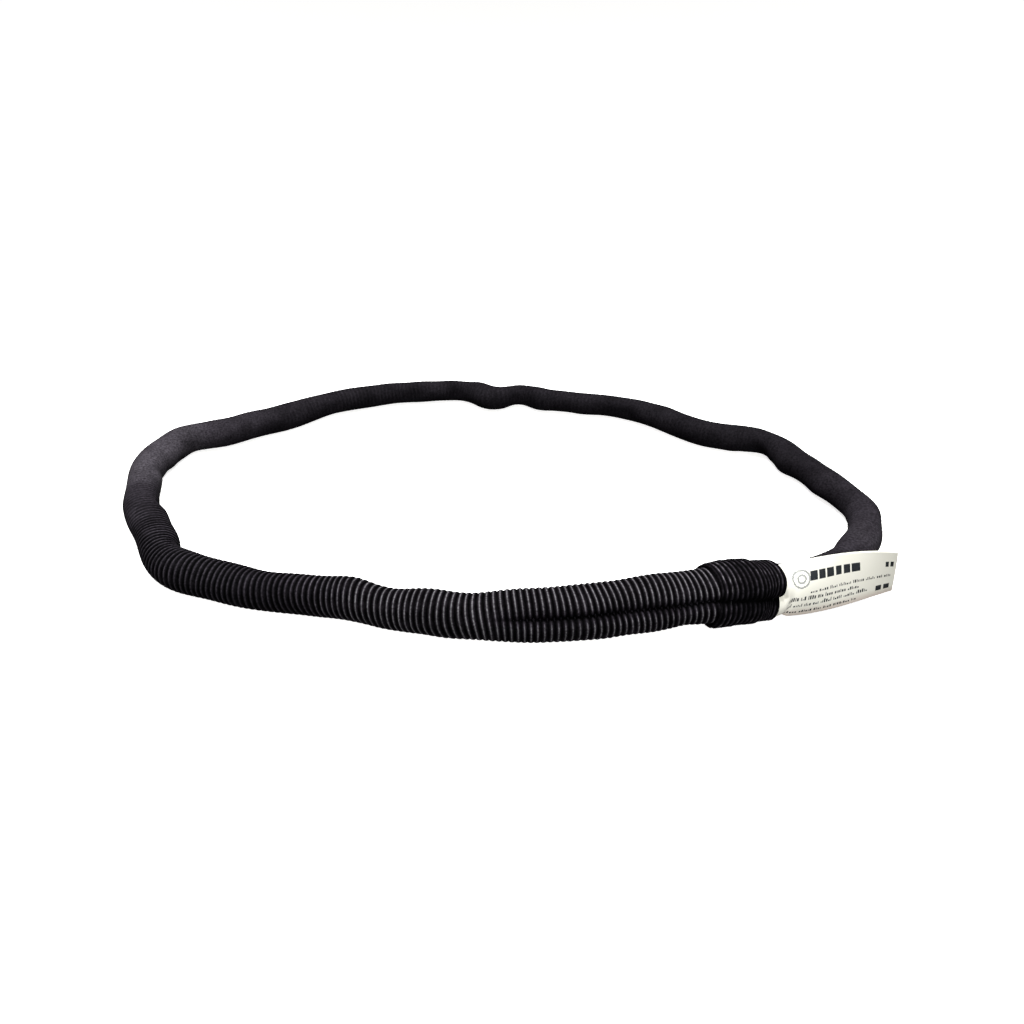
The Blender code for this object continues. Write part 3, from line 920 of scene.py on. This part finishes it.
def label_print():
    """The label's ink over run and height, in cells: plain blocks, marks and a double ring only."""
    columns = round(LABEL_LENGTH / LABEL_CELL)
    rows = round(LABEL_WIDTH / LABEL_CELL)
    ink = np.full((columns, rows), NO_INK, np.int32)
    random = np.random.RandomState(21)

    def cell(millimetres):
        return round(millimetres * MM / LABEL_CELL)

    for left, right, low, high in PRINT_BLOCKS:
        ink[cell(left):cell(right), cell(low):cell(high)] = DARK_INK
    for left, right, base, tallest in PRINT_ROWS:
        x = cell(left)
        y = cell(base)
        while x < cell(right):
            for _ in range(random.randint(*PRINT_MARKS)):
                wide = random.randint(1, 3)
                ink[x:x + wide, y:y + random.randint(2, tallest + 1)] = DARK_INK
                x += wide + 1
            x += 2
    across, up = np.meshgrid(np.arange(columns) + 0.5, np.arange(rows) + 0.5, indexing="ij")
    reach = np.hypot(across * LABEL_CELL - RING_CENTRE[0], up * LABEL_CELL - RING_CENTRE[1])
    for inner, outer in RINGS:
        ink[(reach > inner) & (reach < outer)] = PALE_INK
    return ink


def label(inks):
    """The folded label: its printed near layer, the fold at its tip and its far layer, as one strip."""
    inside = np.arange(-LABEL_INSIDE, 0, LABEL_INSIDE_STEP)
    printed = np.linspace(0, LABEL_LENGTH, round(LABEL_LENGTH / LABEL_CELL) + 1)
    near = label_rows(np.concatenate([inside, printed]), -1)
    far = label_rows(np.concatenate([np.linspace(LABEL_LENGTH, 0, LABEL_FAR_ROWS), LABEL_FAR_INSIDE]), 1)
    tip = (near[-1] + far[0]) / 2
    ahead = near[-1] - near[-2]
    ahead /= np.linalg.norm(ahead, axis=-1, keepdims=True)
    fold = [tip + (near[-1] - tip) * math.cos(a) + ahead * LABEL_HALF_GAP * math.sin(a)
            for a in np.radians((45, 90, 135))]
    rows = np.concatenate([near, np.array(fold), far])
    step = np.linalg.norm(np.diff(rows, axis=0), axis=-1).mean(axis=1)
    u = np.concatenate([[0], np.cumsum(step)])
    v = np.linspace(0, LABEL_WIDTH, rows.shape[1])
    faces, uv = grid_faces(rows.shape[:2], False, u, v)
    made = mesh_object("label_strip", rows, faces, uv)
    for finish in inks:
        made.data.materials.append(finish)
    print_cells = label_print()
    ink = np.full((rows.shape[0] - 1, rows.shape[1] - 1), NO_INK, np.int32)
    ink[len(inside):len(inside) + len(print_cells)] = print_cells
    made.data.polygons.foreach_set("material_index", ink.ravel())
    wall = made.modifiers.new("thickness", "SOLIDIFY")
    wall.thickness = LABEL_THICK
    wall.offset = 0
    return made


def new_material(name):
    made = bpy.data.materials.new(name)
    made.use_nodes = True
    nodes = made.node_tree.nodes
    return made, nodes, made.node_tree.links, nodes["Principled BSDF"]


def set_inputs(node, values):
    for name, value in values.items():
        node.inputs[name].default_value = value


def noise(nodes, links, place, scale, detail):
    made = nodes.new("ShaderNodeTexNoise")
    set_inputs(made, {"Scale": scale, "Detail": detail})
    links.new(place, made.inputs["Vector"])
    return made.outputs["Fac"]


def map_range(nodes, links, value, span, result):
    made = nodes.new("ShaderNodeMapRange")
    set_inputs(made, dict(zip(("From Min", "From Max", "To Min", "To Max"), (*span, *result))))
    links.new(value, made.inputs["Value"])
    return made.outputs["Result"]


def multiply(nodes, links, a, b):
    made = nodes.new("ShaderNodeMath")
    made.operation = "MULTIPLY"
    links.new(a, made.inputs[0])
    links.new(b, made.inputs[1])
    return made.outputs[0]


def colour_ramp(nodes, links, value, first, last, *between):
    """A ramp through stops, each a position and a colour."""
    made = nodes.new("ShaderNodeValToRGB")
    elements = made.color_ramp.elements
    for element, (position, colour) in zip(elements, (first, last)):
        element.position = position
        element.color = (*colour, 1)
    for position, colour in between:
        elements.new(position).color = (*colour, 1)
    links.new(value, made.inputs["Fac"])
    return made.outputs["Color"]


def bump(nodes, links, shader, height, strength, distance):
    made = nodes.new("ShaderNodeBump")
    set_inputs(made, {"Strength": strength, "Distance": distance})
    links.new(height, made.inputs["Height"])
    links.new(made.outputs["Normal"], shader.inputs["Normal"])


def weave_bump(nodes, links, shader, spacing, strength, distance):
    """Two crossed sets of fine threads, in the UV map's metres, as a bump. It returns the coordinates."""
    coordinates = nodes.new("ShaderNodeTexCoord")
    threads = []
    for direction in ("X", "Y"):
        wave = nodes.new("ShaderNodeTexWave")
        wave.bands_direction = direction
        set_inputs(wave, {"Scale": BAND_SCALE / spacing, "Distortion": 1.2, "Detail Scale": 2.0})
        links.new(coordinates.outputs["UV"], wave.inputs["Vector"])
        threads.append(wave.outputs["Fac"])
    bump(nodes, links, shader, multiply(nodes, links, *threads), strength, distance)
    return coordinates


def jacket_cloth():
    """Black polyester: painted shade, nearly black, between the ribs, and a paler painted highlight on their
    crests.
    """
    made, nodes, links, shader = new_material("jacket_cloth")
    coordinates = weave_bump(nodes, links, shader, 0.5 * MM, 0.35, 0.12 * MM)
    rib = nodes.new("ShaderNodeAttribute")
    rib.attribute_name = "rib"
    # The rib attribute picks painted shade in the valleys, the cloth's own plain colour, and painted
    # highlights towards the crests.
    ends = ((0.0, CLOTH_VALLEY_SHADE), (1.0, CLOTH_CREST_HIGHLIGHT))
    between = ((0.5, CLOTH_PLAIN), (0.7, CLOTH_SOFT_HIGHLIGHT))
    shades = colour_ramp(nodes, links, rib.outputs["Fac"], *ends, *between)
    place = coordinates.outputs["Object"]
    fibres = map_range(nodes, links, noise(nodes, links, place, 900, 3), (0.3, 0.7), (0.45, 1.55))
    patches = map_range(nodes, links, noise(nodes, links, place, 70, 2), (0.3, 0.7), (0.72, 1.28))
    colour = nodes.new("ShaderNodeMix")
    colour.data_type = "RGBA"
    colour.blend_type = "MULTIPLY"
    colour.inputs["Factor"].default_value = 1
    links.new(shades, colour.inputs["A"])
    links.new(multiply(nodes, links, fibres, patches), colour.inputs["B"])
    links.new(colour.outputs["Result"], shader.inputs["Base Color"])
    set_inputs(shader, {"Roughness": 0.55, "Specular IOR Level": 0.004})
    set_inputs(shader, {"Sheen Weight": 0.003, "Sheen Roughness": 0.4})
    return made


def plain_material(name, colour, roughness, scale=600, spread=0.12, height=0.2):
    """A matt finish with a little unevenness in colour and height."""
    made, nodes, links, shader = new_material(name)
    coordinates = nodes.new("ShaderNodeTexCoord")
    grain = noise(nodes, links, coordinates.outputs["Object"], scale, 4)
    darker = [c * (1 - spread) for c in colour]
    paler = [min(1, c * (1 + spread)) for c in colour]
    links.new(colour_ramp(nodes, links, grain, (0.3, darker), (0.7, paler)), shader.inputs["Base Color"])
    bump(nodes, links, shader, grain, height, 0.1 * MM)
    set_inputs(shader, {"Roughness": roughness, "Specular IOR Level": 0.1})
    return made


def label_cloth():
    """Cream satin: a fine weave, and a painted brownish shadow near its lower edge."""
    made, nodes, links, shader = new_material("label_cloth")
    coordinates = weave_bump(nodes, links, shader, 0.4 * MM, 0.15, 0.05 * MM)
    split = nodes.new("ShaderNodeSeparateXYZ")
    links.new(coordinates.outputs["UV"], split.inputs["Vector"])
    # Painted shadow: brownish at the lower edge, fading to the cream above.
    above_edge_shadow = map_range(nodes, links, split.outputs["Y"], (0, LABEL_SHADOW_HEIGHT), (0, 1))
    shades = colour_ramp(nodes, links, above_edge_shadow, (0.0, LABEL_EDGE_SHADOW), (1.0, LABEL_CREAM))
    links.new(shades, shader.inputs["Base Color"])
    set_inputs(shader, {"Roughness": 0.5, "Sheen Weight": 0.1})
    return made


def main_camera():
    """The viewpoint: low, in front of the loop's near side."""
    data = bpy.data.cameras.new("camera")
    data.lens = CAMERA_LENS
    data.sensor_width = CAMERA_SENSOR
    camera = add_object("camera", data)
    camera.location = CAMERA_PLACE
    camera.rotation_euler = (math.radians(CAMERA_TILT), 0, 0)
    bpy.context.scene.camera = camera


def area_light(name, place, size, power):
    """A soft light that shines on the loop's middle."""
    data = bpy.data.lights.new(name, "AREA")
    data.shape = "RECTANGLE"
    data.size, data.size_y = size
    data.energy = power
    light = add_object(name, data)
    light.location = place
    light.rotation_euler = (-Vector(place)).to_track_quat("-Z", "Y").to_euler()


def lights():
    area_light("top_softbox", (0, 0.15, 1.0), (1.2, 0.8), 38)
    area_light("front_fill", (0.1, -1.3, 0.5), (1.2, 0.6), 18)
    world = bpy.data.worlds.new("studio")
    world.use_nodes = True
    set_inputs(world.node_tree.nodes["Background"], {"Color": (1, 1, 1, 1), "Strength": 0.08})
    bpy.context.scene.world = world
    bpy.context.scene.view_settings.view_transform = "Standard"


def stage_material():
    """White for the eye, and a darker grey for the light that it throws back on the sling."""
    made = bpy.data.materials.new("studio_white")
    made.use_nodes = True
    nodes = made.node_tree.nodes
    links = made.node_tree.links
    nodes.clear()
    white = nodes.new("ShaderNodeBsdfDiffuse")
    set_inputs(white, {"Color": (0.70, 0.70, 0.69, 1)})
    glow = nodes.new("ShaderNodeEmission")
    set_inputs(glow, {"Color": (1.0, 0.995, 0.985, 1), "Strength": 0.80})
    seen = nodes.new("ShaderNodeAddShader")
    links.new(white.outputs[0], seen.inputs[0])
    links.new(glow.outputs[0], seen.inputs[1])
    bounce = nodes.new("ShaderNodeBsdfDiffuse")
    set_inputs(bounce, {"Color": (0.03, 0.03, 0.03, 1)})
    path = nodes.new("ShaderNodeLightPath")
    mix = nodes.new("ShaderNodeMixShader")
    output = nodes.new("ShaderNodeOutputMaterial")
    links.new(path.outputs["Is Camera Ray"], mix.inputs["Fac"])
    links.new(bounce.outputs[0], mix.inputs[1])
    links.new(seen.outputs[0], mix.inputs[2])
    links.new(mix.outputs[0], output.inputs["Surface"])
    return made


def studio():
    """A white floor that curves up into a backdrop on every side."""
    profile = [(FLOOR_RADIUS, 0.0)]
    for a in np.linspace(0.2, math.pi / 2, 10):
        profile.append((FLOOR_RADIUS + FLOOR_CURVE * math.sin(a), FLOOR_CURVE * (1 - math.cos(a))))
    profile.append((FLOOR_RADIUS + FLOOR_CURVE, BACKDROP_TOP))
    around = np.linspace(0, math.tau, FLOOR_SIDES, endpoint=False)
    verts = [(0, 0, 0)]
    for r, z in profile:
        verts += [(r * math.cos(a), r * math.sin(a), z) for a in around]
    faces = [(0, 1 + k, 1 + (k + 1) % FLOOR_SIDES) for k in range(FLOOR_SIDES)]
    for ring in range(len(profile) - 1):
        low = 1 + FLOOR_SIDES * ring
        high = low + FLOOR_SIDES
        for k in range(FLOOR_SIDES):
            after = (k + 1) % FLOOR_SIDES
            faces.append((low + k, high + k, high + after, low + after))
    mesh = bpy.data.meshes.new("studio_floor")
    mesh.from_pydata(verts, [], faces)
    mesh.shade_smooth()
    mesh.materials.append(stage_material())
    floor = add_object("studio_floor", mesh)
    floor.location.z = -FLOOR_DROP


def place_jacket(cloth):
    """The jacket, which is the sling's soft cord from one end of the sleeve round to the other."""
    made = jacket(cloth)
    runs = [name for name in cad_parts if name.startswith("jacket_") and name != "jacket_seam_thread"]
    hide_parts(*runs)
    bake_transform(made)


def place_sleeve(cloth, thread):
    """The sleeve and the rows of stitches at its two hems."""
    sleeve = joint_sleeve(cloth)
    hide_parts("joint_sleeve")
    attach(sleeve, "right_half")
    for end, sign in (("left", 1), ("right", -1)):
        row = hem_stitches(f"sleeve_stitches_{end}", sign * (SLEEVE_HALF - HEM), thread)
        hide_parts(f"sleeve_thread_{end}")
        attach(row, "right_half")


def place_core():
    """The hank of load yarn, which follows the jacket round the loop."""
    yarn = plain_material("load_yarn", YARN_COLOUR, 0.7, scale=1500, spread=0.1, height=0.5)
    hank = core_hank(yarn)
    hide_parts(*[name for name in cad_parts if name.startswith("core_yarn_")])
    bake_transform(hank)


def place_label(thread):
    """The label and its tack stitches; the label bends out from the tube at the sleeve's mouth."""
    dark = plain_material("label_ink", DARK_INK_COLOUR, 0.6)
    pale = plain_material("label_pale_ink", PALE_INK_COLOUR, 0.6)
    strip = label((label_cloth(), dark, pale))
    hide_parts("label")
    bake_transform(strip)
    tack = label_tacks(thread)
    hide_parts("label_tack_thread")
    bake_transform(tack)


def finish_node(name, finish):
    """Gives a CAD node that keeps its own shape a better material."""
    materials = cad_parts[name].data.materials
    materials.clear()
    materials.append(finish)


def main():
    main_camera()
    lights()
    studio()
    cloth = jacket_cloth()
    thread = plain_material("sewing_thread", THREAD_BLACK, 0.6)
    place_jacket(cloth)
    place_sleeve(cloth, thread)
    place_core()
    place_label(thread)
    finish_node("jacket_seam_thread", thread)
    finish_node("core_end_tape", plain_material("yarn_tape", TAPE_COLOUR, 0.5))


main()
